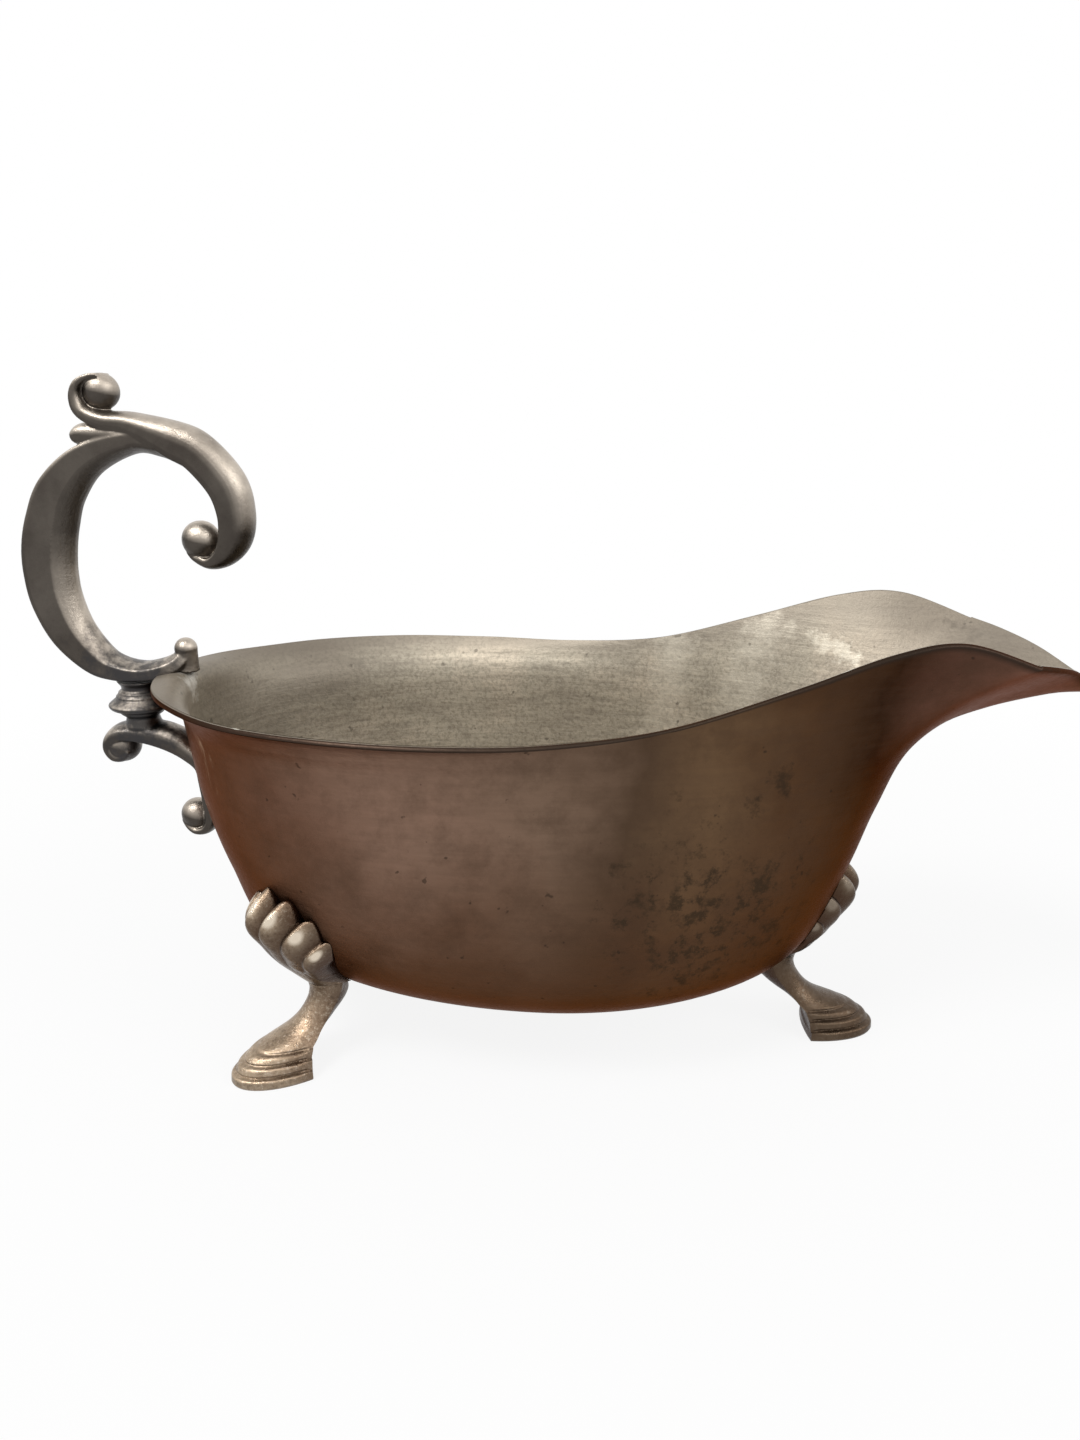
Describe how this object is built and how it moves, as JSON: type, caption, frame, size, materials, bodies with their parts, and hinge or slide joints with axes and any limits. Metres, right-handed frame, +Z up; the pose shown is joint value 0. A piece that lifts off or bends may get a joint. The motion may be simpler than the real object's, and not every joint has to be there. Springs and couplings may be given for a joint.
{
  "type": "sauce boat",
  "caption": "Footed pewter sauce boat: oval bowl with a pouring lip, flying scroll handle over a scrolled bracket, shell-topped cabriole legs.",
  "frame": {"origin": "on the floor, under the middle of the overall length, in the plane of symmetry", "axes": "+X towards the pouring lip, +Y across the bowl, +Z up"},
  "size_m": [0.2002, 0.0798, 0.1271],
  "materials": {
    "bowl_pewter": "worn satin pewter",
    "handle_pewter": "handled pewter, softly polished",
    "leg_pewter": "cast pewter, slightly pitted"
  },
  "bodies": {
    "root": {"bowl": "bowl_pewter", "handle_scroll": "handle_pewter", "handle_bracket": "handle_pewter", "leg_front": "leg_pewter", "leg_rear_near": "leg_pewter", "leg_rear_far": "leg_pewter", "knee_shell_front": "leg_pewter", "knee_shell_rear_near": "leg_pewter", "knee_shell_rear_far": "leg_pewter"}
  },
  "joints": []
}
